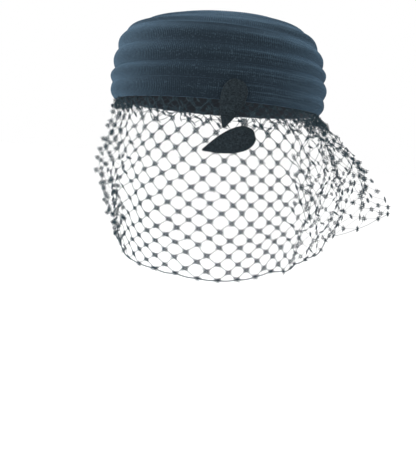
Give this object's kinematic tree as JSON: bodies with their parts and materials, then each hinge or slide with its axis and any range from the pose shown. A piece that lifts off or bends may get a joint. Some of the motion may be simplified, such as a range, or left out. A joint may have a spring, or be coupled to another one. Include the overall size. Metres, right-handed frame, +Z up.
{
  "type": "pillbox hat with veil",
  "caption": "Small round pillbox hat covered in padded horizontal folds of ribbed cloth, with a short gathered net veil and velvet leaves at the front.",
  "frame": {"origin": "centre of the head opening, level with the crown's lower edge", "axes": "+Z up through the middle of the top, -Y to the front that the wearer faces, +X to the wearer's left"},
  "size_m": [0.2217, 0.1894, 0.1712],
  "materials": {
    "ribbed_cloth": "fine cross-ribbed navy cloth with a soft sheen",
    "stiff_cap": "plain stiffened dark cloth, matt",
    "netting": "knotted black thread, dull",
    "velvet": "short deep pile, neutral black"
  },
  "bodies": {
    "root": {"crown": "stiff_cap", "rim_fold": "ribbed_cloth", "side_fold_1": "ribbed_cloth", "side_fold_2": "ribbed_cloth", "side_fold_3": "ribbed_cloth", "shoulder_fold_1": "ribbed_cloth", "shoulder_fold_2": "ribbed_cloth", "top_fold_1": "ribbed_cloth", "top_fold_2": "ribbed_cloth", "top_fold_3": "ribbed_cloth", "top_fold_4": "ribbed_cloth", "top_centre": "ribbed_cloth", "veil": "netting", "leaf_hanging": "velvet", "leaf_crosswise": "velvet"}
  },
  "joints": []
}
